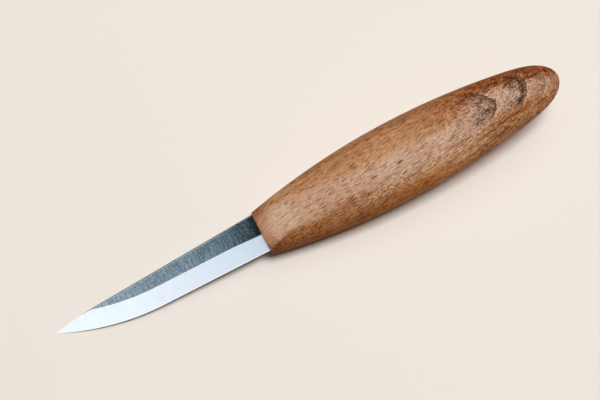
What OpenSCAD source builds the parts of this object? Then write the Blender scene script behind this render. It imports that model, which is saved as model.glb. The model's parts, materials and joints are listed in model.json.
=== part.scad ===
// Sloyd knife: a turned beech handle with a thumb flat on each side of its front, and a straight-ground
// blade whose stick tang is glued into a blind mortise in the handle.
// Pieces are drawn along the handle's axis: x = 0 is the handle's front face, -x runs to the tip,
// +x to the butt, -y to the cutting edge and +y to the spine. The knife then lies on its side on the
// plane z = 0, where the blade near its tip and the handle's belly touch it.

/* [Blade] */
// Length from the handle's front face to the tip
blade_len = 80; // [60:1:110]
// Height at the handle, from the edge to the spine
blade_h = 14.1; // [11:0.1:20]
// Thickness between the two flats
blade_t = 2.8; // [2:0.1:4]
// Length of the cutting edge that is straight, from the handle
edge_straight = 41; // [15:1:52]
// Height of the tip above the straight edge's line
tip_rise = 8.5; // [5:0.1:10]
// Fall of the tip below the spine's straight line
tip_fall = 1; // [0.3:0.1:2.5]
// Length of the spine's curve, back from the tip
spine_curve = 18; // [8:1:30]
// Width of the ground bevel on each side
bevel_w = 6.65; // [5:0.05:9]
// Thickness that is left at the cutting edge
edge_t = 0.05; // [0.02:0.01:0.2]
// Chamfer on the spine's two corners
spine_break = 0.3; // [0.1:0.05:0.6]
// Height of the blade's middle above the handle's axis, at the handle
blade_offset = 0.45; // [-1:0.05:1]
// Angle at which the straight edge rises towards the tip, in degrees
edge_lift = 1.1; // [0:0.1:3]

/* [Tang] */
// Length of the tang inside the handle
tang_len = 60; // [30:1:85]
// Height of the tang at the blade's shoulders
tang_h = 6; // [4:0.1:9]
// Height of the tang at its far end
tang_end_h = 4.2; // [3:0.1:6]
// Step from each flat of the blade down to the tang's side
tang_step = 0.3; // [0.2:0.05:0.6]
// Shoulder from the spine down to the tang
spine_shoulder = 1.5; // [0.5:0.1:3]
// Radius of the notches that key the tang in the glue
notch_r = 0.8; // [0.4:0.1:1.2]
// Distance of the first pair of notches from the shoulders
notch_start = 18; // [8:1:30]
// Distance from one pair of notches to the next
notch_pitch = 14; // [6:1:30]

/* [Glue bed] */
// Glue between the tang's sides and the mortise
glue_gap = 0.2; // [0.05:0.05:0.3]
// Glue past the tang's end
glue_end = 1; // [0.5:0.1:4]

/* [Handle] */
// Length from the front face to the butt
handle_len = 117; // [95:1:140]
// Place of the fullest section, from the front face
belly_at = 54; // [40:1:75]
// Height at the fullest section, on the edge-to-spine axis
handle_h = 27.9; // [22:0.1:34]
// Thickness at the fullest section, from side to side
handle_t = 23.6; // [18:0.1:32]
// Wood above and below the blade at the front face
front_margin = 1.1; // [0.3:0.05:4]
// Turned thickness at the front, before the thumb flats are cut
front_t = 16.6; // [12:0.1:22]
// Height that the turned curve would reach at the butt
rear_h = 13.2; // [8:0.1:20]
// Thickness that the turned curve would reach at the butt
rear_t = 11.2; // [8:0.1:18]
// Length of the rounded butt
butt_len = 22; // [12:1:35]
// Fullness of the butt's rounding, where 2 is an ellipse
butt_fullness = 5; // [2:0.5:8]
// Rounding of the front face's rim
front_rim = 0.5; // [0.2:0.1:1.5]
// Wood between the blade and each thumb flat, at the front face
cheek_t = 4.35; // [2:0.05:6]
// Length over which the thumb flats run out into the oval
flat_len = 20; // [8:1:35]

/* [Hidden] */
$fn = 180;

// Blade outline, in the frame of its straight edge
edge_drop = blade_h / 2 - blade_offset;
bevel_slope = atan((blade_t - edge_t) / 2 / bevel_w);
belly_run = blade_len - edge_straight;
belly_r = (pow(belly_run, 2) + pow(tip_rise, 2)) / (2 * tip_rise);
spine_slope = atan((blade_h - tip_rise - tip_fall) / blade_len);
spine_len = blade_len / cos(spine_slope) + tip_fall * sin(spine_slope);
spine_dip = tip_fall * cos(spine_slope);
spine_r = (pow(spine_curve, 2) + pow(spine_dip, 2)) / (2 * spine_dip);
break_slope = 45;

// Tang and mortise
tang_t = blade_t - 2 * tang_step;
tang_y = blade_h - edge_drop - spine_shoulder - tang_h / 2;
blank_root = tang_len + blade_h;
mortise_lead = 1;

// Handle sections
front_h = blade_h + 2 * front_margin;
flat_t = blade_t + 2 * cheek_t;
ring_sides = 40;
facet_share = cos(180 / ring_sides);
rim_steps = 3;
body_steps = 28;
butt_steps = 13;
body_end = handle_len - butt_len;
stations = [
    for (i = [0 : rim_steps - 1]) front_rim * (1 - cos(90 * i / rim_steps)),
    for (i = [0 : body_steps - 1]) front_rim + (body_end - front_rim) * i / body_steps,
    for (i = [0 : butt_steps - 1]) body_end + butt_len * sin(90 * i / butt_steps)
];

// Place on the bench, which the blade touches at one of the low points along its spine's curve. Each has
// its place along the handle's axis and the blade's half thickness there.
touch_steps = 12;
spine_turn = asin(spine_curve / spine_r);
low_points = [
    for (i = [0 : touch_steps])
        let (p = spine_at(spine_turn * i / touch_steps))
        [p.x * cos(edge_lift) + p.y * sin(edge_lift), spine_half(p)]
];
lie_angle = min([for (p = low_points) max([for (x = stations) atan2(half_t(x) - p.y, x - p.x)])]);
lie_lift = max([for (p = low_points) p.y * cos(lie_angle) - p.x * sin(lie_angle)]);
reach_back = max([for (x = stations) x * cos(lie_angle) + half_t(x) * sin(lie_angle)]);
reach_front = low_points[touch_steps].x * cos(lie_angle);

// Spine's curve at turn t, in the frame of the straight edge
function spine_at(t) =
    let (u = spine_curve - spine_len - spine_r * sin(t), v = spine_r * (cos(t) - 1))
    [u * cos(spine_slope) - v * sin(spine_slope), blade_h + u * sin(spine_slope) + v * cos(spine_slope)];

// Depth of a point of the blade inside its cutting edge
function edge_depth(p) =
    p.x > -edge_straight ? p.y : belly_r - norm(p - [-edge_straight, belly_r]);

// Half thickness of the blade at a point of its spine
function spine_half(p) = min(blade_t / 2 - spine_break, edge_t / 2 + edge_depth(p) * tan(bevel_slope));

// Share of the turned size that is left at x, where the butt is rounded off
function butt_share(x) = sqrt(1 - pow(max(0, (x - body_end) / butt_len), butt_fullness));

// How far the front rim's rounding lies inside the turned surface at x
function rim_inset(x) = x < front_rim ? front_rim - sqrt(pow(front_rim, 2) - pow(front_rim - x, 2)) : 0;

// Turned curve through its front, full and rear sizes
function turned(x, front, full, rear) =
    x < belly_at
        ? full - (full - front) * pow(1 - x / belly_at, 2)
        : full - (full - rear) * pow((x - belly_at) / (handle_len - belly_at), 2);

// Half height and half thickness at x
function half_h(x) = turned(x, front_h, handle_h, rear_h) / 2 * butt_share(x) - rim_inset(x);
function half_t(x) = turned(x, flat_t, handle_t, rear_t) / 2 * butt_share(x) - rim_inset(x);

// How far the oval at x would rise past the thumb flats, as a share of the half thickness
function crown(x) = 1 + (front_t / flat_t - 1) * max(0, 1 - x / flat_len);

// Oval section at x, cut off by the two thumb flats. Its narrow facets touch the oval from outside, and
// one of them lies on each side's middle line.
function section(x) = [
    for (k = [0 : ring_sides - 1])
        let (a = 360 * (k + 0.5) / ring_sides)
        let (y = cos(a) / facet_share, z = crown(x) * sin(a) / facet_share)
        [x, half_h(x) * y, half_t(x) * sign(z) * min(abs(z), 1)]
];

// Half height of the tang at x
function tang_half(x) = tang_h / 2 + (tang_end_h - tang_h) / 2 * x / tang_len;

// Lays the knife on the plane z = 0, with the middle of its length at x = 0
module lie_on_bench() {
    translate([-(reach_back + reach_front) / 2, 0, lie_lift])
        rotate([0, -lie_angle, 0]) children();
}

// Solid that ends at y = 0 along a straight and then along an arc that bends to +y, towards -x.
// From a wall of half height land, its two faces rise at the given slope.
module ground_side(straight, radius, land, slope) {
    half = land + blade_t;
    inset = blade_t / tan(slope);
    side = [[0, -land], [inset, -half], [radius, -half], [radius, half], [inset, half], [0, land]];
    translate([-straight, 0, 0])
        rotate([90, 0, 90]) linear_extrude(straight + blank_root) polygon(side);
    translate([-straight, radius, 0]) rotate([0, 0, 180])
        rotate_extrude(angle = 90) polygon([for (p = side) [radius - p.x, p.y]]);
}

// Flat bar with its bevels and spine ground, running on past the handle's front face
module ground_blank() {
    translate([0, -edge_drop, 0]) rotate([0, 0, -edge_lift]) intersection() {
        ground_side(edge_straight, belly_r, edge_t / 2, bevel_slope);
        translate([0, blade_h, 0]) rotate([0, 0, spine_slope]) mirror([0, 1, 0])
            ground_side(spine_len - spine_curve, spine_r, blade_t / 2 - spine_break, break_slope);
        translate([-blade_len - blade_h, -blade_h, -blade_t / 2])
            cube([blade_len + 2 * blade_h + blank_root, 3 * blade_h, blade_t]);
    }
}

// Tapered bar of the tang, grown by a gap on its sides and at its end, from x = -lead
module tang_bar(gap, end_gap, lead) {
    x_end = tang_len + end_gap;
    front = tang_half(-lead) + gap;
    back = tang_half(x_end) + gap;
    translate([0, tang_y, -tang_t / 2 - gap]) linear_extrude(tang_t + 2 * gap)
        polygon([[-lead, -front], [x_end, -back], [x_end, back], [-lead, front]]);
}

// Pairs of half-round notches along the tang's two narrow sides
module tang_notches() {
    for (x = [notch_start : notch_pitch : tang_len - 2 * notch_r], s = [-1, 1])
        translate([x, tang_y + s * tang_half(x), -blade_t]) cylinder(r = notch_r, h = 2 * blade_t);
}

// Blade and tang in one piece of steel, with the shoulders on the plane x = 0
module blade_steel() {
    difference() {
        intersection() {
            ground_blank();
            union() {
                translate([-2 * blade_len, -2 * blade_h, -blade_t])
                    cube([2 * blade_len, 4 * blade_h, 2 * blade_t]);
                tang_bar(0, 0, 0);
            }
        }
        tang_notches();
    }
}

// Turned body of the handle, lofted through its sections to a point at the butt
module turned_body() {
    rings = len(stations);
    pole = rings * ring_sides;
    next = function (k) (k + 1) % ring_sides;
    points = [for (x = stations) each section(x), [handle_len, 0, 0]];
    front_face = [for (k = [0 : ring_sides - 1]) k];
    sides = [
        for (i = [0 : rings - 2], k = [0 : ring_sides - 1])
            let (a = i * ring_sides, b = a + ring_sides)
            each [[a + k, b + k, b + next(k)], [a + k, b + next(k), a + next(k)]]
    ];
    last = pole - ring_sides;
    butt = [for (k = [0 : ring_sides - 1]) [last + k, pole, last + next(k)]];
    polyhedron(points, concat([front_face], sides, butt));
}

module blade() {
    color([0.66, 0.70, 0.73]) lie_on_bench() blade_steel();
}

module handle() {
    color([0.70, 0.53, 0.41]) lie_on_bench() difference() {
        turned_body();
        tang_bar(glue_gap, glue_end, mortise_lead);
    }
}

module tang_adhesive() {
    color([0.80, 0.68, 0.42]) lie_on_bench() difference() {
        tang_bar(glue_gap, glue_end, 0);
        blade_steel();
    }
}

blade();
handle();
tang_adhesive();
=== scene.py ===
"""Looks of the sloyd knife: the turned beech handle, the ground blade and the glue around its tang."""

import json
from math import asin, atan, atan2, cos, hypot, pi, radians, sin, sqrt

import bmesh
import bpy
from mathutils import Matrix, Vector


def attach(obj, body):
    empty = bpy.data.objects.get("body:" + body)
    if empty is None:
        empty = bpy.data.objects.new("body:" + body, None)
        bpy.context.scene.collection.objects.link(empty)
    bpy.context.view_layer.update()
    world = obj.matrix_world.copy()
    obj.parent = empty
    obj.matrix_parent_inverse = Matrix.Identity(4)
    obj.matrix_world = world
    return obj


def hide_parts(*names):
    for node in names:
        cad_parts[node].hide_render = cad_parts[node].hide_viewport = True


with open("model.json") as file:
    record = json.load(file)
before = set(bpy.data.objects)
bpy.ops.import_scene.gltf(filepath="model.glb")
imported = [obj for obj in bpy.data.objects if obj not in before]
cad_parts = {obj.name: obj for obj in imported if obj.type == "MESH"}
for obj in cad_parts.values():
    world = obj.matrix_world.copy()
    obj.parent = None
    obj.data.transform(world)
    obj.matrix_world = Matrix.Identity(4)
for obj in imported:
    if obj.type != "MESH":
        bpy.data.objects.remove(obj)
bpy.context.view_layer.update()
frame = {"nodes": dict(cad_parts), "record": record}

# Sizes in millimetres, in the knife's own frame: x = 0 is the handle's front face, -x runs to the tip,
# +x to the butt, -y to the cutting edge and +y to the spine. The butt's fullness and the flats' knee are
# plain numbers.
BLADE_LEN, BLADE_H, BLADE_T = 80.0, 14.1, 2.8
EDGE_STRAIGHT, TIP_RISE, TIP_FALL, SPINE_CURVE = 41.0, 8.5, 1.0, 18.0
BEVEL_W, EDGE_T, SPINE_BREAK = 6.65, 0.05, 0.3
BLADE_OFFSET, EDGE_LIFT = 0.45, radians(1.1)
TANG_LEN, TANG_H, TANG_END_H, TANG_STEP, SPINE_SHOULDER = 60.0, 6.0, 4.2, 0.3, 1.5
NOTCH_R, NOTCHES = 0.8, (18.0, 32.0, 46.0)
GLUE_GAP, GLUE_END = 0.2, 1.0
HANDLE_LEN, BELLY_AT, HANDLE_H, HANDLE_T = 117.0, 54.0, 27.9, 23.6
FRONT_H, FRONT_T, FLAT_T, FLAT_LEN = 16.3, 16.6, 11.5, 20.0
REAR_H, REAR_T, BUTT_LEN, BUTT_FULLNESS, FRONT_RIM = 13.2, 11.2, 22.0, 5.0, 0.5
FLAT_KNEE, BAR_SPARE = 0.22, 10.0
MM = 0.001

# Worked out from the sizes above
EDGE_DROP = BLADE_H / 2 - BLADE_OFFSET
SPINE_TOP = BLADE_H - EDGE_DROP
SPINE_TILT = (BLADE_H - TIP_RISE - TIP_FALL) / BLADE_LEN - sin(EDGE_LIFT)
BELLY_RUN = BLADE_LEN - EDGE_STRAIGHT
BELLY_R = (BELLY_RUN ** 2 + TIP_RISE ** 2) / (2 * TIP_RISE)
TANG_T = BLADE_T - 2 * TANG_STEP
TANG_Y = SPINE_TOP - SPINE_SHOULDER - TANG_H / 2

# Fineness of the meshes: rows of faces along and around the handle, cuts on each side of the mortise's
# mouth, steps on the blade's curves, degrees between the steps of a notch, and the gaps within which points
# are merged and cuts are taken as met
RIM_ROWS, BODY_ROWS, BUTT_ROWS, AROUND, MOUTH_CUTS = 6, 118, 44, 192, 7
BELLY_STEPS, SPINE_STEPS, NOTCH_DEGREES = 44, 16, 15
MERGE_GAP, CUT_GAP = 1e-4, 1e-5

# The knife's own frame as it lies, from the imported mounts
mounts = {m["name"]: m for m in frame["record"]["mounts"]}
along = Vector(mounts["grip"]["axis"])
upward = Vector(mounts["upper_flat"]["axis"])
FRONT_AT = Vector(mounts["blade_in_sheath"]["pos_m"])
KNIFE_TURN = Matrix((along, upward.cross(along), upward)).transposed()
LAY = Matrix.Translation(FRONT_AT) @ KNIFE_TURN.to_4x4() @ Matrix.Scale(MM, 4)


# Handle

def turned(x, front, full, rear):
    """Turned curve through its front, full and rear sizes."""
    if x < BELLY_AT:
        return full - (full - front) * (1 - x / BELLY_AT) ** 2
    return full - (full - rear) * ((x - BELLY_AT) / (HANDLE_LEN - BELLY_AT)) ** 2


def butt_share(x):
    """Share of the turned size that is left at x, where the butt is rounded off."""
    return sqrt(max(0.0, 1 - max(0.0, (x - HANDLE_LEN + BUTT_LEN) / BUTT_LEN) ** BUTT_FULLNESS))


def rim_inset(x):
    """How far the front rim's rounding lies inside the turned surface."""
    return FRONT_RIM - sqrt(FRONT_RIM ** 2 - (FRONT_RIM - x) ** 2) if x < FRONT_RIM else 0.0


def soft_cap(value, soft):
    """Caps a value at 1, with a rounded knee of the given width."""
    if soft < 1e-4:
        return min(value, 1.0)
    h = min(max(0.5 + 0.5 * (1 - value) / soft, 0.0), 1.0)
    return 1 + (value - 1) * h - soft * h * (1 - h)


def handle_point(x, turn):
    """Point of the handle's surface at x, at an angle around the axis."""
    crown = 1 + (FRONT_T / FLAT_T - 1) * max(0.0, 1 - x / FLAT_LEN)
    rise = crown * sin(turn)
    half_h = turned(x, FRONT_H, HANDLE_H, REAR_H) / 2 * butt_share(x) - rim_inset(x)
    half_t = turned(x, FLAT_T, HANDLE_T, REAR_T) / 2 * butt_share(x) - rim_inset(x)
    flat = soft_cap(abs(rise), FLAT_KNEE * (crown - 1))
    return Vector((x, half_h * cos(turn), half_t * (flat if rise > 0 else -flat)))


def handle_stations():
    """Places along the handle, close together at the front rim and at the butt."""
    body_end = HANDLE_LEN - BUTT_LEN
    places = [FRONT_RIM * (1 - cos(pi / 2 * i / RIM_ROWS)) for i in range(RIM_ROWS)]
    places += [FRONT_RIM + (body_end - FRONT_RIM) * i / BODY_ROWS for i in range(BODY_ROWS)]
    return places + [body_end + BUTT_LEN * sin(pi / 2 * i / BUTT_ROWS) for i in range(BUTT_ROWS + 1)]


def cut_mortise(bm):
    """Mortise for the tang: a mouth in the front face that runs back as a tapered pocket."""
    front_ring = [e for e in bm.edges if e.is_boundary]
    mouth = bmesh.ops.create_circle(bm, segments=4, radius=sqrt(0.5))["verts"]
    bmesh.ops.rotate(bm, verts=mouth, matrix=Matrix.Rotation(pi / 4, 3, "Z"))
    bmesh.ops.rotate(bm, verts=mouth, matrix=Matrix.Rotation(pi / 2, 3, "Y"))
    wide, high = TANG_T + 2 * GLUE_GAP, TANG_H + 2 * GLUE_GAP
    bmesh.ops.scale(bm, verts=mouth, vec=(1, high, wide))
    bmesh.ops.translate(bm, verts=mouth, vec=(0, TANG_Y, 0))
    bmesh.ops.subdivide_edges(bm, edges=[e for e in bm.edges if e.is_wire], cuts=MOUTH_CUTS)
    mouth_edges = [e for e in bm.edges if e.is_wire]
    bmesh.ops.bridge_loops(bm, edges=front_ring + mouth_edges)
    deep = bmesh.ops.extrude_edge_only(bm, edges=mouth_edges)["geom"]
    end = [v for v in deep if isinstance(v, bmesh.types.BMVert)]
    taper = (TANG_END_H + 2 * GLUE_GAP) / high
    bmesh.ops.scale(bm, verts=end, vec=(1, taper, 1), space=Matrix.Translation((0, -TANG_Y, 0)))
    bmesh.ops.translate(bm, verts=end, vec=(TANG_LEN + GLUE_END, 0, 0))
    bmesh.ops.edgeloop_fill(bm, edges=[e for e in bm.edges if e.is_boundary])


def make_handle():
    """Turned body with thumb flats, a rounded butt and the mortise for the tang."""
    places = handle_stations()
    bm = bmesh.new()
    bmesh.ops.create_cone(bm, segments=AROUND, radius1=1, radius2=1, depth=1, cap_ends=False)
    lengthwise = [e for e in bm.edges if abs(e.verts[0].co.z - e.verts[1].co.z) > 0.5]
    bmesh.ops.subdivide_edges(bm, edges=lengthwise, cuts=len(places) - 2, use_grid_fill=True)
    for v in bm.verts:
        station = round((v.co.z + 0.5) * (len(places) - 1))
        v.co = handle_point(places[station], atan2(v.co.y, v.co.x))
    bmesh.ops.remove_doubles(bm, verts=bm.verts, dist=MERGE_GAP)
    cut_mortise(bm)
    return finish_mesh("handle_turned", bm, sharp_angle=30)


# Blade

FINISHES = ("flat", "bevel", "spine")


def blade_outline_planes():
    """Planes that bound the blade's outline: a point, the outward direction and which side they cut."""
    for i in range(BELLY_STEPS + 1):
        t = asin(BELLY_RUN / BELLY_R) * i / BELLY_STEPS
        out = Vector((-sin(t), -cos(t), 0))
        yield Vector((-EDGE_STRAIGHT, BELLY_R, 0)) + out * BELLY_R, out, "edge"

    slope = atan((BLADE_H - TIP_RISE - TIP_FALL) / BLADE_LEN)
    spine_len = BLADE_LEN / cos(slope) + TIP_FALL * sin(slope)
    dip = TIP_FALL * cos(slope)
    spine_r = (SPINE_CURVE ** 2 + dip ** 2) / (2 * dip)
    centre = Vector((SPINE_CURVE - spine_len, -spine_r, 0))
    lean = Matrix.Translation((0, BLADE_H, 0)) @ Matrix.Rotation(slope, 4, "Z")
    for i in range(SPINE_STEPS + 1):
        t = asin(SPINE_CURVE / spine_r) * i / SPINE_STEPS
        out = Vector((-sin(t), cos(t), 0))
        yield lean @ (centre + out * spine_r), lean.to_3x3() @ out, "spine"


def cut_away(bm, place, outward, finish):
    """Cuts off what lies past a plane and closes the cut with a face of the given finish."""
    geom = bm.verts[:] + bm.edges[:] + bm.faces[:]
    bmesh.ops.bisect_plane(bm, geom=geom, dist=CUT_GAP, plane_co=place, plane_no=outward, clear_outer=True)
    rim = [e for e in bm.edges if e.is_boundary]
    if rim:
        bmesh.ops.edgeloop_fill(bm, edges=rim, mat_nr=FINISHES.index(finish))


def tang_half(x):
    """Half height of the tang, with its pairs of half-round notches."""
    half = TANG_H / 2 + (TANG_END_H - TANG_H) / 2 * x / TANG_LEN
    notch = max(sqrt(max(0.0, NOTCH_R ** 2 - (x - n) ** 2)) for n in NOTCHES)
    return half - notch


def end_faces(bm):
    return [f for f in bm.faces if f.normal.x > 0.9]


def draw_tang(bm):
    """Marks the tang's section on the shoulders, then draws it out step by step."""
    for place, normal in (((0, TANG_Y + TANG_H / 2, 0), (0, 1, 0)), ((0, TANG_Y - TANG_H / 2, 0), (0, 1, 0)),
                          ((0, 0, TANG_T / 2), (0, 0, 1)), ((0, 0, -TANG_T / 2), (0, 0, 1))):
        ends = end_faces(bm)
        geom = ends + list({e for f in ends for e in f.edges}) + list({v for f in ends for v in f.verts})
        bmesh.ops.bisect_plane(bm, geom=geom, dist=CUT_GAP, plane_co=place, plane_no=normal)
    middle = Vector((0, TANG_Y, 0))
    tang = min(end_faces(bm), key=lambda f: (f.calc_center_median() - middle).length)
    turns = [radians(a) for a in range(-90, 91, NOTCH_DEGREES)]
    for x in sorted({n + NOTCH_R * sin(a) for n in NOTCHES for a in turns} | {TANG_LEN}):
        tang = bmesh.ops.extrude_discrete_faces(bm, faces=[tang])["faces"][0]
        for v in tang.verts:
            side = 1 if v.co.y > TANG_Y else -1
            v.co = (x, TANG_Y + side * tang_half(x), v.co.z)


def edge_depth(p):
    """Depth of a point of the blade inside its cutting edge, in the frame of the straight edge."""
    return p.y if p.x > -EDGE_STRAIGHT else BELLY_R - hypot(p.x + EDGE_STRAIGHT, p.y - BELLY_R)


def make_blade():
    """Blade cut from a bar by the planes of its bevels, edge and spine, with the tang drawn out behind."""
    set_edge = Matrix.Translation((0, -EDGE_DROP, 0)) @ Matrix.Rotation(-EDGE_LIFT, 4, "Z")
    turn = set_edge.to_3x3()
    bevel = atan((BLADE_T - EDGE_T) / 2 / BEVEL_W)
    bar_len, bar_h = BLADE_LEN + BAR_SPARE, 3 * BLADE_H
    bm = bmesh.new()
    bar = bmesh.ops.create_cube(bm, size=1)["verts"]
    bmesh.ops.scale(bm, verts=bar, vec=(bar_len, bar_h, BLADE_T))
    bmesh.ops.translate(bm, verts=bar, vec=(-bar_len / 2, 0, 0))
    for place, out, kind in blade_outline_planes():
        slope, land = (bevel, EDGE_T / 2) if kind == "edge" else (pi / 4, BLADE_T / 2 - SPINE_BREAK)
        finish = "bevel" if kind == "edge" else "spine"
        cut_away(bm, set_edge @ place, turn @ out, finish)
        for side in (1, -1):
            normal = out * sin(slope) + Vector((0, 0, side * cos(slope)))
            cut_away(bm, set_edge @ (place + Vector((0, 0, side * land))), turn @ normal, finish)
    bmesh.ops.remove_doubles(bm, verts=bm.verts, dist=MERGE_GAP)
    draw_tang(bm)

    depth = bm.verts.layers.float.new("edge_depth")
    back = set_edge.inverted()
    for v in bm.verts:
        v[depth] = edge_depth(back @ v.co)
    return finish_mesh("blade_ground", bm, sharp_angle=4)


def finish_mesh(name, bm, sharp_angle):
    """Lays the piece on the bench, turns its faces outward, shades it smooth and adds it to the scene."""
    bmesh.ops.transform(bm, matrix=LAY, verts=bm.verts)
    bmesh.ops.recalc_face_normals(bm, faces=bm.faces)
    for f in bm.faces:
        f.smooth = True
    for e in bm.edges:
        e.smooth = e.calc_face_angle(0) < radians(sharp_angle)
    return add_object(name, bm)


def add_object(name, bm):
    mesh = bpy.data.meshes.new(name)
    bm.to_mesh(mesh)
    bm.free()
    piece = bpy.data.objects.new(name, mesh)
    bpy.context.scene.collection.objects.link(piece)
    return piece


# Materials

class Nodes:
    """Adds nodes to one tree, and links or sets what each is given; a colour is red, green and blue."""

    def __init__(self, tree):
        self.tree = tree

    def feed(self, socket, value):
        if isinstance(value, bpy.types.NodeSocket):
            self.tree.links.new(value, socket)
        else:
            socket.default_value = (*value, 1) if socket.type == "RGBA" else value

    def add(self, kind, inputs=None, **settings):
        node = self.tree.nodes.new("ShaderNode" + kind)
        for name, value in settings.items():
            setattr(node, name, value)
        for key, value in (inputs or {}).items():
            self.feed(node.inputs[key], value)
        return node

    def math(self, operation, *values, clamp=False):
        return self.add("Math", dict(enumerate(values)), operation=operation, use_clamp=clamp).outputs[0]

    def plus(self, first, *others):
        for other in others:
            first = self.math("ADD", first, other)
        return first

    def minus(self, first, other):
        return self.math("SUBTRACT", first, other)

    def times(self, first, *others):
        for other in others:
            first = self.math("MULTIPLY", first, other)
        return first

    def line(self, value, slope, start):
        """Start plus slope times value."""
        return self.math("MULTIPLY_ADD", value, slope, start)

    def larger(self, first, *others):
        for other in others:
            first = self.math("MAXIMUM", first, other)
        return first

    def absolute(self, value):
        return self.math("ABSOLUTE", value)

    def spread(self, value, low, high, to_low=0.0, to_high=1.0, smooth=True):
        """Maps low..high to to_low..to_high, held at both ends."""
        kind = "SMOOTHSTEP" if smooth else "LINEAR"
        ends = {0: value, 1: low, 2: high, 3: to_low, 4: to_high}
        return self.add("MapRange", ends, interpolation_type=kind).outputs[0]

    def mix(self, share, a, b, blend="MIX"):
        node = self.add("Mix", {0: share, 6: a, 7: b}, data_type="RGBA", blend_type=blend)
        return node.outputs[2]

    def tint(self, colour, by):
        """Colour darkened or lightened by a share of red, green and blue."""
        return self.mix(1.0, colour, by, "MULTIPLY")

    def blend(self, share, stops, interpolation="LINEAR"):
        """Colour that runs through stops, each a share and a colour."""
        node = self.add("ValToRGB", {0: share})
        ramp = node.color_ramp
        ramp.interpolation = interpolation
        for i, (position, colour) in enumerate(stops):
            stop = ramp.elements[i] if i < 2 else ramp.elements.new(position)
            stop.position = position
            stop.color = (*colour, 1)
        return node.outputs[0]

    def steps(self, share, values):
        """Values held in turn over equal parts of 0..1."""
        stops = [(i / len(values), (v, v, v)) for i, v in enumerate(values)]
        return self.blend(share, stops, "CONSTANT")

    def split(self, place):
        return self.add("SeparateXYZ", {0: place}).outputs

    def join(self, x, y, z):
        return self.add("CombineXYZ", {0: x, 1: y, 2: z}).outputs[0]

    def stretch(self, place, x, y, z):
        """Place divided by the sizes that a pattern has along each axis."""
        sizes = (1 / x, 1 / y, 1 / z)
        return self.add("VectorMath", {0: place, 1: sizes}, operation="MULTIPLY").outputs[0]

    def noise(self, place, detail=2.0, roughness=0.5):
        values = {"Vector": place, "Scale": 1.0, "Detail": detail, "Roughness": roughness}
        return self.add("TexNoise", values).outputs[0]

    def cells(self, place):
        """Distance to the nearest of scattered points, and that point's own random colour."""
        node = self.add("TexVoronoi", {"Vector": place, "Scale": 1.0}, feature="F1")
        return node.outputs["Distance"], node.outputs["Color"]


def new_group(name, inputs, outputs):
    """Empty node group with named sockets; returns its nodes, its inputs and its outputs."""
    tree = bpy.data.node_groups.new(name, "ShaderNodeTree")
    for label, kind, value in inputs:
        socket = tree.interface.new_socket(label, in_out="INPUT", socket_type="NodeSocket" + kind)
        if value is not None:
            socket.default_value = value
    for label, kind in outputs:
        tree.interface.new_socket(label, in_out="OUTPUT", socket_type="NodeSocket" + kind)
    nodes = Nodes(tree)
    return nodes, tree.nodes.new("NodeGroupInput").outputs, tree.nodes.new("NodeGroupOutput").inputs


def place_group(nodes, group, inputs):
    node = nodes.tree.nodes.new("ShaderNodeGroup")
    node.node_tree = group
    for label, value in inputs.items():
        nodes.feed(node.inputs[label], value)
    return node.outputs


def grinding_group():
    """Fine lines that a belt leaves across a steel face, with a few deeper scratches."""
    nodes, given, out = new_group(
        "grinding_lines",
        [("Place", "Vector", None), ("Pitch", "Float", 0.4), ("Length", "Float", 8.0)],
        [("Lines", "Float"), ("Scratches", "Float")])
    place = nodes.split(given["Place"])
    x = nodes.math("DIVIDE", place[0], given["Pitch"])
    y = nodes.math("DIVIDE", place[1], given["Length"])
    z = nodes.math("DIVIDE", place[2], given["Length"])
    nodes.feed(out["Lines"], nodes.noise(nodes.join(x, y, z), detail=3.0, roughness=0.65))
    sparse = nodes.join(nodes.times(x, 0.37), nodes.times(y, 1.9), z)
    nodes.feed(out["Scratches"], nodes.spread(nodes.noise(sparse, detail=1.0), 0.66, 0.74))
    return nodes.tree


def cloud_group():
    """Broad uneven patches and fine specks, for finishes that are never quite even."""
    nodes, given, out = new_group(
        "uneven_finish",
        [("Place", "Vector", None), ("Patch", "Float", 8.0), ("Speck", "Float", 0.5)],
        [("Patches", "Float"), ("Specks", "Float")])
    for label, size, rough in (("Patches", "Patch", 0.5), ("Specks", "Speck", 0.8)):
        share = nodes.math("DIVIDE", 1.0, given[size])
        spot = nodes.add("VectorMath", {0: given["Place"], "Scale": share}, operation="SCALE").outputs[0]
        nodes.feed(out[label], nodes.spread(nodes.noise(spot, detail=3.0, roughness=rough), 0.3, 0.7))
    return nodes.tree


GRINDING = grinding_group()
UNEVEN = cloud_group()


def new_material(name, **plain):
    """Material with one shader, whose even values are set on it; returns it, its nodes and the shader."""
    material = bpy.data.materials.new(name)
    material.use_nodes = True
    nodes = Nodes(material.node_tree)
    shader = material.node_tree.nodes["Principled BSDF"]
    for label, value in plain.items():
        shader.inputs[label.replace("_", " ")].default_value = value
    return material, nodes, shader


def knife_place(nodes):
    """Place on the knife in millimetres, in the knife's own frame."""
    spot = nodes.add("TexCoord").outputs["Object"]
    values = {"Vector": spot, "Location": FRONT_AT, "Rotation": KNIFE_TURN.to_euler(), "Scale": (MM, MM, MM)}
    return nodes.add("Mapping", values, vector_type="TEXTURE").outputs[0]


def bump(nodes, shader, height, depth, strength):
    node = nodes.add("Bump", {"Height": height, "Distance": depth, "Strength": strength})
    nodes.feed(shader.inputs["Normal"], node.outputs[0])


# Oiled beech; places and pattern sizes are in millimetres

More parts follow.
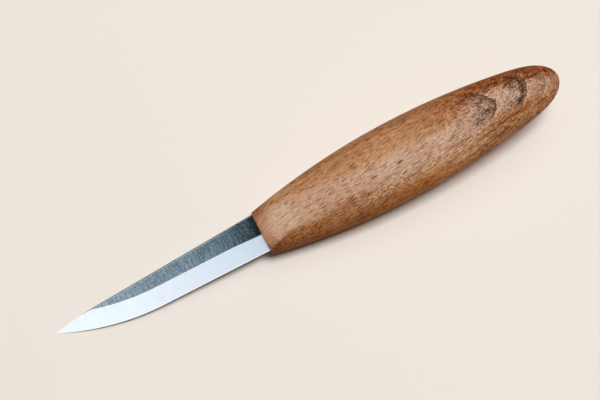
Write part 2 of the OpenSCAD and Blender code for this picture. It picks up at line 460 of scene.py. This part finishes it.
# The front and back colours are the crest's: the wood's own tone, paled partly by painted sheen
WOOD_FRONT_WITH_SHEEN, WOOD_BACK_WITH_SHEEN = (0.58, 0.35, 0.22), (0.63, 0.42, 0.297)
WOOD_SPINE_SIDE = (0.55, 0.28, 0.135)
# The low front tone and the edge-side tones are darkened partly by painted shade of the flank turned from the
# light; the low back tone is the wood's own
WOOD_LOW_FRONT_SHADED, WOOD_LOW_BACK = (0.38, 0.16, 0.062), (0.68, 0.415, 0.235)
WOOD_EDGE_FRONT_SHADED, WOOD_EDGE_BACK_SHADED = (0.215, 0.056, 0.006), (0.43, 0.16, 0.033)
# The pale thumb-flat tone is painted sheen
WOOD_BUTT, WOOD_THUMB_SHEEN = (0.38, 0.165, 0.068), (0.74, 0.53, 0.385)
WOOD_PATCH, WOOD_VEIN = (0.46, 0.19, 0.075), (0.27, 0.085, 0.022)
STAIN_THIN, STAIN_FULL = (0.31, 0.093, 0.022), (0.115, 0.025, 0.005)
RING_START, RING_CLOUD, RING_PORE = (0.62, 0.4, 0.28), (0.245, 0.152, 0.108), (0.085, 0.042, 0.028)
RING_BAND, RING_END = (0.034, 0.018, 0.013), (0.085, 0.034, 0.018)
RAY, FRONT_RIM_DARK = (0.11, 0.024, 0.005), (0.17, 0.06, 0.022)

# Tints that grain and specks give to the wood under them, and the tint of the darker front
GRAIN_DARK, GRAIN_PALE = (0.5, 0.4, 0.32), (1.3, 1.36, 1.44)
SPECK_DARK, SPECK_PALE, STAINED_SPECK_PALE = (0.45, 0.36, 0.3), (1.3, 1.36, 1.42), (2.1, 1.9, 1.6)
FRONT_DARK_TINT = (0.68, 0.5, 0.36)

# Levels at which the upper growth rings end, then the number and thickness of the even rings below them;
# for each ring from the topmost on, how strongly its clouds and end line show, how strongly the dark band
# inside that line does, and how far through the ring its clouds begin
RING_LINES = (11.5, 5.5, 2.15, -0.4, -3.1)
DEEP_RINGS, DEEP_RING_T = 7, 2.5
RING_STRENGTHS = (0.1, 0.95, 0.9, 0.65, 0.5, 0.35, 0.5, 0.3, 0.45, 0.4)
RING_BANDS = (0.0, 0.35, 1.0, 0.1, 0.3, 0.2, 0.3, 0.2, 0.3, 0.2)
RING_CLOUDS = (0.3, 0.34, 0.1, 0.3, 0.3, 0.3, 0.3, 0.3, 0.3, 0.3)


def wood_place(nodes):
    """Place along the handle and towards the spine, the growth layers' level, and the place in the fibres."""
    # The fibres rise towards the spine, and the layers towards the butt
    x, y, z = nodes.split(knife_place(nodes))
    fibre_rise = nodes.times(x, nodes.line(x, 0.0003, 0.12))
    layer_bend = nodes.line(y, nodes.spread(x, 91.5, 96.0, 0.0025, 0.028), 0.095)
    level = nodes.plus(nodes.line(x, -0.08, z), nodes.times(y, layer_bend))
    return x, y, level, nodes.join(x, nodes.minus(y, fibre_rise), level)


def ring_count(nodes, level, fibre, ragged):
    """How many growth rings lie above a point, with the share of its own ring as the fraction."""
    wander = nodes.noise(nodes.stretch(fibre, 26, 9, 9), detail=1.0)
    level = nodes.plus(level, nodes.spread(wander, 0.2, 0.8, -0.4, 0.4, smooth=False),
                       nodes.spread(ragged, 0.2, 0.8, -0.16, 0.16, smooth=False))
    last = RING_LINES[-1]
    count = nodes.spread(level, last, last - DEEP_RINGS * DEEP_RING_T, 0, DEEP_RINGS, smooth=False)
    for top, bottom in zip(RING_LINES, RING_LINES[1:]):
        count = nodes.plus(count, nodes.spread(level, top, bottom, smooth=False))
    return count


def growth_rings(nodes, x, y, level, fibre, ragged):
    """Shares of a ring's parts: its pale start, its clouds, the dark band and line that end it, its pores."""
    count = ring_count(nodes, level, fibre, ragged)
    through = nodes.math("FRACT", count)
    number = nodes.line(nodes.math("FLOOR", count), 1 / len(RING_STRENGTHS), 0.5 / len(RING_STRENGTHS))
    crest = nodes.times(nodes.spread(y, 6.4, 8.6, 1.0, 0.0), nodes.spread(y, -5.6, -3.0))
    strength = nodes.times(nodes.steps(number, RING_STRENGTHS), crest)
    start = nodes.times(nodes.spread(through, 0.02, 0.3, 1.0, 0.0), nodes.spread(x, 84.0, 92.0), strength,
                        nodes.spread(y, 3.0, 6.5, 1.0, 0.0))

    clouds_at = nodes.steps(number, RING_CLOUDS)
    patchy = nodes.spread(nodes.noise(nodes.stretch(fibre, 3.4, 2.2, 2.2), detail=2.0), 0.34, 0.6, 0.3, 1.0)
    clouds = nodes.larger(nodes.spread(through, clouds_at, nodes.plus(clouds_at, 0.4)),
                          nodes.spread(through, 0.0, 0.2, 0.0, 0.4))
    clouds = nodes.times(clouds, nodes.spread(through, 0.93, 0.98, 1.0, 0.0), strength, patchy)

    dots = nodes.noise(nodes.stretch(fibre, 0.9, 0.5, 0.5), detail=3.0, roughness=0.7)
    torn = nodes.plus(through, nodes.spread(dots, 0.25, 0.75, -0.13, 0.13, smooth=False))
    band = nodes.times(nodes.spread(torn, 0.68, 0.8), nodes.spread(through, 0.86, 0.93, 1.0, 0.0))
    band = nodes.times(nodes.steps(number, RING_BANDS), crest, band)
    end = nodes.times(nodes.spread(through, 0.905, 0.96), strength)
    least = nodes.line(nodes.larger(clouds, band), -0.29, 0.68)
    pores = nodes.spread(dots, least, nodes.plus(least, 0.13))
    return start, clouds, band, end, pores


def ray_dashes(nodes, fibre, length, width, left_out):
    """Rays, which run inwards and show as short dark dashes; the given share of them is left out."""
    away, own = nodes.cells(nodes.stretch(fibre, length, width, 9.0))
    kept = nodes.spread(nodes.add("SeparateColor", {0: own}).outputs[0], left_out, left_out + 0.35)
    return nodes.times(nodes.spread(away, 0.21, 0.33, 1.0, 0.0), kept)


def wood_tones(nodes, x, y, sway, patches):
    """Wood, warmer to the spine and darker to the edge partly by painted shade, paled by painted sheen on the
    crest and thumb flats; returns it and the thumb flats' sheen share.
    """
    # The borders are crisp at the thumb flats and drift with the grain further back
    drift = nodes.line(sway, nodes.spread(x, 4.0, 30.0, 0.15, 1.0), y)
    soft = nodes.spread(x, 3.0, 30.0, 0.7, 2.5)
    rearward = nodes.spread(x, 14.0, 60.0)
    # The crest's colour: the wood's own tone, paled partly by painted sheen
    colour = nodes.mix(rearward, WOOD_FRONT_WITH_SHEEN, WOOD_BACK_WITH_SHEEN)

    upper_at = nodes.spread(nodes.absolute(nodes.minus(x, 58.0)), 14.0, 36.0, 1.2, 4.8)
    upper = nodes.spread(drift, nodes.minus(upper_at, 3.0), nodes.plus(upper_at, 3.0))
    colour = nodes.mix(upper, colour, WOOD_SPINE_SIDE)

    # Below the edge-side border: at the front a dark tone that is partly painted shade, further back the
    # wood's own orange
    low_at = nodes.plus(nodes.spread(x, 0.0, 9.0, -7.3, -5.1, smooth=False),
                        nodes.spread(x, 10.0, 26.0, 0.0, -1.5), nodes.spread(x, 24.0, 55.0, 0.0, -1.0),
                        nodes.spread(x, 74.0, 98.0, 0.0, 4.2))
    low = nodes.spread(drift, nodes.plus(low_at, soft), nodes.minus(low_at, soft))
    low_tone = nodes.mix(nodes.spread(x, 18.0, 68.0), WOOD_LOW_FRONT_SHADED, WOOD_LOW_BACK)
    colour = nodes.mix(low, colour, low_tone)

    # Towards the edge-side rim the wood darkens further, partly its own deeper tone and partly painted shade
    # of the underside
    deep_at = nodes.spread(x, 4.0, 28.0, -6.4, -8.8)
    deep = nodes.spread(drift, deep_at, nodes.minus(deep_at, 4.2))
    colour = nodes.mix(deep, colour, nodes.mix(rearward, WOOD_EDGE_FRONT_SHADED, WOOD_EDGE_BACK_SHADED))

    brown = nodes.larger(nodes.times(nodes.spread(x, 70.0, 90.0), low), nodes.spread(x, 109.0, 115.0),
                         nodes.spread(y, 8.0, 12.0), nodes.spread(x, 95.0, 106.0, 0.0, 0.4))
    colour = nodes.mix(nodes.times(brown, 0.8), colour, WOOD_BUTT)

    # Painted sheen: the thumb flats and the crest at the front are paled, as a highlight would pale them
    thumb_sheen = nodes.times(nodes.spread(y, 1.0, 7.0, 1.0, 0.0), nodes.spread(nodes.minus(y, low_at), -0.5, 0.8),
                       nodes.spread(nodes.line(sway, 2.0, x), 2.0, 28.0, 0.85, 0.0))
    colour = nodes.mix(thumb_sheen, colour, WOOD_THUMB_SHEEN)
    return nodes.mix(nodes.times(patches, 0.3), colour, WOOD_PATCH), thumb_sheen


def butt_stain(nodes, x, y, fibre, ragged, sway):
    """Share of the dark stain on the spine's side of the butt; its ragged border drops towards the end."""
    border = nodes.plus(nodes.spread(x, 76.0, 90.0, 1.9, 5.9),
                        nodes.spread(x, 90.0, 110.0, 0.0, -4.9, smooth=False))
    soft = nodes.spread(x, 70.0, 95.0, 2.0, 1.9)
    height = nodes.plus(nodes.spread(ragged, 0.25, 0.75, -2.2, 2.2, smooth=False), y)
    stain = nodes.spread(nodes.line(sway, 0.8, height), nodes.minus(border, soft), nodes.plus(border, soft))
    blotch = nodes.noise(nodes.stretch(fibre, 7, 3, 3), detail=3.0)
    thinnest = nodes.spread(x, 76.0, 92.0, 0.3, 0.75)
    return nodes.times(stain, nodes.spread(x, 52.0, 94.0), nodes.spread(blotch, 0.3, 0.58, thinnest, 1.0))


def fine_grain(nodes, fibre, fine, thumb_sheen, flank, colour):
    """Dark and pale grain, quieter under the painted sheen of the thumb flats, with longer flakes on the
    flanks.
    """
    dark = nodes.tint(colour, GRAIN_DARK)
    pale = nodes.tint(colour, GRAIN_PALE)
    quiet = nodes.line(thumb_sheen, -0.55, 0.92)
    flakes = nodes.noise(nodes.stretch(fibre, 2.4, 0.34, 0.34), detail=2.0, roughness=0.65)
    colour = nodes.mix(nodes.times(nodes.spread(fine, 0.5, 0.7), quiet), colour, dark)
    colour = nodes.mix(nodes.times(nodes.spread(fine, 0.49, 0.3), quiet), colour, pale)
    colour = nodes.mix(nodes.times(nodes.spread(flakes, 0.51, 0.71), flank), colour, dark)
    return nodes.mix(nodes.times(nodes.spread(flakes, 0.5, 0.3), flank), colour, pale)


def rear_specks(nodes, x, y, fibre, stain, colour):
    """Dark and pale specks over the rear of the handle and its low flank."""
    share = nodes.larger(nodes.spread(x, 58.0, 84.0), nodes.spread(y, -4.5, -7.5, 0.0, 0.75))
    specks = nodes.noise(nodes.stretch(fibre, 0.75, 0.42, 0.42), detail=1.0)
    dark = nodes.times(nodes.spread(specks, 0.52, 0.66, 0.0, 0.9), share)
    pale = nodes.times(nodes.spread(specks, 0.48, 0.34, 0.0, 0.8), share)
    colour = nodes.mix(dark, colour, nodes.tint(colour, SPECK_DARK))
    gain = nodes.mix(stain, SPECK_PALE, STAINED_SPECK_PALE)
    return nodes.mix(pale, colour, nodes.tint(colour, gain))


def darken_front(nodes, x, y, fine, colour):
    """Darkens the front end, with a darker rim, most at its upper and lower corners."""
    reach = nodes.math("POWER", nodes.minus(y, 0.5), 2.0)
    reach = nodes.math("MINIMUM", nodes.line(reach, 0.045, 0.3), 2.4)
    inside = nodes.minus(x, nodes.line(fine, 3.2, reach))
    front_dark = nodes.larger(nodes.spread(inside, -1.5, 1.0, 1.0, 0.0),
                          nodes.spread(inside, -0.5, 6.0, 0.55, 0.0))
    colour = nodes.mix(front_dark, colour, nodes.tint(colour, FRONT_DARK_TINT))
    strongest = nodes.spread(y, 1.0, -4.0, 0.08, 0.4)
    rim = nodes.spread(nodes.absolute(inside), 0.05, 0.7, strongest, 0.0)
    return nodes.mix(rim, colour, FRONT_RIM_DARK)


def oiled_beech():
    """Beech with rays, growth rings, a stained butt and a darker front, with painted sheen on crest and thumb
    flats and painted shade to the edge.
    """
    material, nodes, shader = new_material("oiled_beech", IOR=1.5, Specular_IOR_Level=0.03)
    x, y, level, fibre = wood_place(nodes)
    ragged = nodes.noise(nodes.stretch(fibre, 2.2, 1.1, 1.1), detail=3.0, roughness=0.6)
    fine = nodes.noise(nodes.stretch(fibre, 1.9, 0.32, 0.32), detail=2.0, roughness=0.65)
    veins = nodes.noise(nodes.stretch(fibre, 18, 1.1, 1.1), detail=3.0, roughness=0.6)
    streaks = nodes.noise(nodes.stretch(fibre, 34, 2.6, 2.6), detail=3.0, roughness=0.55)
    sway = nodes.spread(streaks, 0.2, 0.8, -2.0, 2.0, smooth=False)
    uneven = place_group(nodes, UNEVEN, {"Place": fibre, "Patch": 9.0})
    start, clouds, band, end, pores = growth_rings(nodes, x, y, level, fibre, ragged)
    rays = nodes.larger(ray_dashes(nodes, fibre, 4.9, 0.41, 0.38),
                        nodes.times(ray_dashes(nodes, fibre, 2.6, 0.36, 0.5), 0.55))
    rays = nodes.times(rays, nodes.spread(x, 6.0, 22.0, 0.6, 1.0))

    # Tones of the wood with their painted sheen and shade, brown veins on the flanks and the stain over them
    colour, thumb_sheen = wood_tones(nodes, x, y, sway, uneven["Patches"])
    flank = nodes.spread(nodes.absolute(nodes.minus(y, 0.5)), 4.0, 7.0)
    vein = nodes.times(nodes.spread(veins, 0.5, 0.64), flank, nodes.spread(x, 62.0, 86.0, 0.45, 0.95))
    colour = nodes.mix(vein, colour, WOOD_VEIN)
    stain = butt_stain(nodes, x, y, fibre, ragged, sway)
    stain_tone = nodes.mix(nodes.spread(ragged, 0.42, 0.6), STAIN_THIN, STAIN_FULL)
    colour = nodes.mix(nodes.times(stain, 0.97), colour, stain_tone)

    # Grain, growth rings, rays and the darker front
    colour = fine_grain(nodes, fibre, fine, thumb_sheen, flank, colour)
    colour = nodes.mix(nodes.times(start, nodes.minus(1.0, stain), 0.5), colour, RING_START)
    colour = nodes.mix(nodes.times(clouds, nodes.line(stain, -0.58, 0.62)), colour, RING_CLOUD)
    colour = rear_specks(nodes, x, y, fibre, stain, colour)
    colour = nodes.mix(nodes.times(pores, nodes.spread(clouds, 0.0, 0.45, 0.2, 0.8)), colour, RING_PORE)
    colour = nodes.mix(nodes.times(band, 0.78), colour, RING_BAND)
    colour = nodes.mix(nodes.times(end, 0.92), colour, RING_END)
    colour = nodes.mix(rays, colour, RAY)
    nodes.feed(shader.inputs["Base Color"], darken_front(nodes, x, y, fine, colour))

    nodes.feed(shader.inputs["Roughness"], nodes.line(rays, 0.2, nodes.line(fine, 0.16, 0.4)))
    height = nodes.line(pores, -0.4, nodes.line(rays, -0.7, fine))
    bump(nodes, shader, height, 0.05 * MM, 0.35)
    return material


# Steel; the tones run from the handle towards the tip, each with its share of their length

# The flats' tones: their own dark finish, with painted shade and reflection of the handle in the darkest
# steps beside it, and painted reflection in their brightening towards the tip
FLAT_TONES_WITH_SHADE = ((0.0, (0.015, 0.022, 0.025)), (0.02, (0.023, 0.037, 0.04)), (0.055, (0.074, 0.118, 0.141)),
              (0.12, (0.084, 0.132, 0.166)), (0.39, (0.148, 0.211, 0.261)), (0.65, (0.172, 0.232, 0.285)),
              (1.0, (0.245, 0.32, 0.38)))
# The bevels' tones: the first step is a painted shadow at the handle, and their brightening towards the tip
# is painted reflection
BEVEL_TONES_WITH_SHADE = ((0.0, (0.38, 0.47, 0.58)), (0.012, (0.57, 0.655, 0.745)), (0.35, (0.69, 0.76, 0.83)),
               (0.65, (0.78, 0.85, 0.91)), (1.0, (0.84, 0.9, 0.95)))
FLAT_TONES_LEN, BEVEL_TONES_LEN = 70.0, BLADE_LEN
FLAT_DARK, FLAT_PALE, BEVEL_DARK = (0.42, 0.44, 0.46), (1.72, 1.65, 1.58), (0.86, 0.88, 0.9)
# The spine rub is partly a painted highlight of the broken spine edge
FLAT_SCRATCH, SPINE_RUB_HIGHLIGHT, HARDENING_SCALE = (0.45, 0.52, 0.57), (0.5, 0.58, 0.65), (0.013, 0.02, 0.024)
# The honed edge's pale tone is partly its polish and partly a painted glint
HONED_EDGE_GLINT = (0.93, 0.96, 0.98)
SPINE_DULL, SPINE_PALE, SPINE_LINE = (0.08, 0.092, 0.102), (0.15, 0.17, 0.185), (0.05, 0.058, 0.064)


def flat_tone_with_shade(nodes, x):
    return nodes.blend(nodes.spread(x, 0.0, -FLAT_TONES_LEN, smooth=False), FLAT_TONES_WITH_SHADE)


def dark_flat():
    """Unpolished flats, darkened at the handle by painted shade and reflection, with a pale strip along the
    spine that is partly rub and partly painted highlight, and scale from hardening close to the handle.
    """
    material, nodes, shader = new_material("dark_flat", Metallic=1.0)
    place = knife_place(nodes)
    x, y = nodes.split(place)[:2]
    lines = place_group(nodes, GRINDING, {"Place": place, "Pitch": 0.45, "Length": 3.0})
    uneven = place_group(nodes, UNEVEN, {"Place": place, "Patch": 7.0, "Speck": 0.5})
    colour = flat_tone_with_shade(nodes, x)
    dark = nodes.tint(colour, FLAT_DARK)
    pale = nodes.tint(colour, FLAT_PALE)
    colour = nodes.mix(nodes.spread(lines["Lines"], 0.32, 0.68, 0.08, 0.92), pale, dark)
    colour = nodes.mix(nodes.spread(uneven["Specks"], 0.5, 0.8, 0.0, 0.7), colour, dark)
    colour = nodes.mix(nodes.spread(uneven["Specks"], 0.5, 0.2, 0.0, 0.6), colour, pale)
    colour = nodes.mix(nodes.times(uneven["Patches"], 0.25), colour, pale)
    colour = nodes.mix(nodes.times(lines["Scratches"], 0.12), colour, FLAT_SCRATCH)

    # Pale strip below the spine: partly rubbing, partly a painted highlight of the broken spine edge
    below_spine = nodes.minus(nodes.line(x, SPINE_TILT, SPINE_TOP), y)
    rubbed_highlight = nodes.spread(below_spine, SPINE_BREAK + 0.15, SPINE_BREAK + 0.5, 0.4, 0.0)
    colour = nodes.mix(rubbed_highlight, colour, SPINE_RUB_HIGHLIGHT)
    pits = nodes.larger(uneven["Specks"], nodes.spread(lines["Lines"], 0.5, 0.62))
    pits = nodes.times(pits, nodes.spread(x, -17.0, -3.0))
    colour = nodes.mix(nodes.times(pits, 0.9), colour, HARDENING_SCALE)
    nodes.feed(shader.inputs["Base Color"], colour)
    nodes.feed(shader.inputs["Roughness"], nodes.line(pits, 0.15, nodes.line(lines["Lines"], 0.16, 0.3)))
    bump(nodes, shader, nodes.line(pits, -0.8, lines["Lines"]), 0.01 * MM, 0.2)
    return material


def bright_bevel():
    """Satin-ground bevels with a painted shadow at the handle and painted reflection brightening them to the
    tip, and a honed edge that is partly a painted glint; past their upper border they take the flats' tone.
    """
    material, nodes, shader = new_material("bright_bevel", Metallic=1.0)
    place = knife_place(nodes)
    x = nodes.split(place)[0]
    lines = place_group(nodes, GRINDING, {"Place": place, "Pitch": 0.4, "Length": 5.0})
    uneven = place_group(nodes, UNEVEN, {"Place": place, "Patch": 12.0, "Speck": 1.1})
    # Tone along the bevel, with its painted shadow and reflection
    colour = nodes.blend(nodes.spread(x, 0.0, -BEVEL_TONES_LEN, smooth=False), BEVEL_TONES_WITH_SHADE)
    dark = nodes.tint(colour, BEVEL_DARK)
    colour = nodes.mix(nodes.spread(lines["Lines"], 0.3, 0.75, 0.0, 0.7), colour, dark)
    for pattern, share in ((uneven["Patches"], 0.25), (uneven["Specks"], 0.35), (lines["Scratches"], 0.3)):
        colour = nodes.mix(nodes.times(pattern, share), colour, dark)
    depth = nodes.add("Attribute", attribute_name="edge_depth").outputs["Fac"]
    # The honed edge: partly its polish, partly a painted glint
    colour = nodes.mix(nodes.spread(depth, 0.16, 0.4, 0.7, 0.0), colour, HONED_EDGE_GLINT)
    border = nodes.spread(x, -17.0, 0.0, BEVEL_W + 0.2, BEVEL_W - 0.5)
    past = nodes.spread(nodes.minus(depth, border), -0.15, 0.15)
    nodes.feed(shader.inputs["Base Color"], nodes.mix(past, colour, flat_tone_with_shade(nodes, x)))
    nodes.feed(shader.inputs["Roughness"], nodes.line(lines["Lines"], 0.14, 0.26))
    bump(nodes, shader, lines["Lines"], 0.006 * MM, 0.25)
    return material


def spine_steel():
    """Dull steel of the spine and its broken edges."""
    material, nodes, shader = new_material("spine_steel", Metallic=1.0)
    place = knife_place(nodes)
    lines = place_group(nodes, GRINDING, {"Place": place, "Pitch": 0.5, "Length": 3.0})
    uneven = place_group(nodes, UNEVEN, {"Place": place, "Patch": 6.0})
    colour = nodes.mix(uneven["Patches"], SPINE_DULL, SPINE_PALE)
    colour = nodes.mix(nodes.spread(lines["Lines"], 0.4, 0.75, 0.0, 0.4), colour, SPINE_LINE)
    nodes.feed(shader.inputs["Base Color"], colour)
    nodes.feed(shader.inputs["Roughness"], nodes.line(lines["Lines"], 0.16, 0.28))
    bump(nodes, shader, lines["Lines"], 0.01 * MM, 0.3)
    return material


# Glue

GLUE_DEEP, GLUE_PALE, GLUE_SPECK = (0.5, 0.32, 0.11), (0.62, 0.44, 0.19), (0.36, 0.2, 0.06)


def amber_glue():
    """Cured glue, uneven in tone and gloss."""
    material, nodes, shader = new_material("amber_glue", IOR=1.52)
    uneven = place_group(nodes, UNEVEN, {"Place": knife_place(nodes), "Patch": 5.0, "Speck": 0.5})
    colour = nodes.mix(uneven["Patches"], GLUE_DEEP, GLUE_PALE)
    colour = nodes.mix(nodes.times(uneven["Specks"], 0.4), colour, GLUE_SPECK)
    nodes.feed(shader.inputs["Base Color"], colour)
    nodes.feed(shader.inputs["Roughness"], nodes.spread(uneven["Specks"], 0.0, 1.0, 0.22, 0.4))
    bump(nodes, shader, uneven["Specks"], 0.03 * MM, 0.3)
    return material


# Pieces

handle = make_handle()
handle.data.materials.append(oiled_beech())
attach(handle, "root")
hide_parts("handle")

blade = make_blade()
for steel in (dark_flat(), bright_bevel(), spine_steel()):
    blade.data.materials.append(steel)
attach(blade, "root")
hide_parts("blade")

glue = frame["nodes"]["tang_adhesive"]
glue.data.materials.clear()
glue.data.materials.append(amber_glue())


# Bench, light and camera, in metres, with the lens and sensor in millimetres

BENCH_HALF = 4.0
PALE_BENCH = (0.88, 0.825, 0.76)
PALE_WALL = (0.66, 0.66, 0.66)
WARM_BOUNCE, BOUNCE_STRENGTH = (0.9, 0.62, 0.4), 0.05
LAMPS_OFF = 3.0
CAMERA_SENSOR, CAMERA_LENS, CAMERA_NEAR = 36.0, 87.908, 0.01
CAMERA_AZIMUTH, CAMERA_ELEVATION, CAMERA_OFF = radians(-27.7217), radians(78.1024), 0.52
CAMERA_AIM = Vector((-0.000488, 0.0057066, 0.0010164))


def lay_bench():
    bm = bmesh.new()
    bmesh.ops.create_grid(bm, x_segments=1, y_segments=1, size=BENCH_HALF)
    bench = add_object("bench", bm)
    material, nodes, shader = new_material("pale_bench", Roughness=0.8, Specular_IOR_Level=0.0)
    nodes.feed(shader.inputs["Base Color"], PALE_BENCH)
    bench.data.materials.append(material)


def hang_soft_box(name, toward, size, watts, sheen=False):
    """Flat lamp that lights surfaces, or shows in their sheen; size and watts are as for a metre off."""
    lamp = bpy.data.lights.new(name, "AREA")
    lamp.shape = "RECTANGLE"
    lamp.size, lamp.size_y = (side * LAMPS_OFF for side in size)
    lamp.energy = watts * LAMPS_OFF ** 2
    box = bpy.data.objects.new(name, lamp)
    toward = Vector(toward).normalized()
    box.location = toward * LAMPS_OFF
    box.rotation_euler = Vector((0, 0, 1)).rotation_difference(toward).to_euler()
    box.visible_diffuse, box.visible_glossy = not sheen, sheen
    bpy.context.scene.collection.objects.link(box)


def light_studio():
    """Soft boxes overhead and an even pale surround, which lights the matt surfaces only a little."""
    hang_soft_box("key_box", toward=(0.2, 0.02, 1), size=(0.31, 0.31), watts=7.85)
    hang_soft_box("fill_box", toward=(0.3, 0.35, 1), size=(0.9, 0.6), watts=2.25)
    hang_soft_box("sheen_box", toward=(-0.3, -0.08, 1), size=(0.78, 1.2), watts=1.82, sheen=True)
    world = bpy.data.worlds.new("surround")
    bpy.context.scene.world = world
    world.use_nodes = True
    nodes = Nodes(world.node_tree)
    ray = nodes.add("LightPath").outputs
    seen = nodes.plus(ray["Is Camera Ray"], ray["Is Glossy Ray"])
    seen = nodes.math("ADD", seen, ray["Is Transmission Ray"], clamp=True)
    surround = world.node_tree.nodes["Background"]
    nodes.feed(surround.inputs["Color"], nodes.mix(seen, WARM_BOUNCE, PALE_WALL))
    nodes.feed(surround.inputs["Strength"], nodes.spread(seen, 0, 1, BOUNCE_STRENGTH, 1.0, smooth=False))


def set_camera():
    lens = bpy.data.cameras.new("camera")
    lens.sensor_width, lens.lens = CAMERA_SENSOR, CAMERA_LENS
    lens.clip_start = CAMERA_NEAR
    camera = bpy.data.objects.new("camera", lens)
    level = cos(CAMERA_ELEVATION)
    back = Vector((sin(CAMERA_AZIMUTH) * level, -cos(CAMERA_AZIMUTH) * level, sin(CAMERA_ELEVATION)))
    camera.location = CAMERA_AIM + back * CAMERA_OFF
    camera.rotation_euler = back.to_track_quat("Z", "Y").to_euler()
    bpy.context.scene.collection.objects.link(camera)
    bpy.context.scene.camera = camera


lay_bench()
light_studio()
set_camera()
bpy.context.scene.view_settings.view_transform = "Standard"
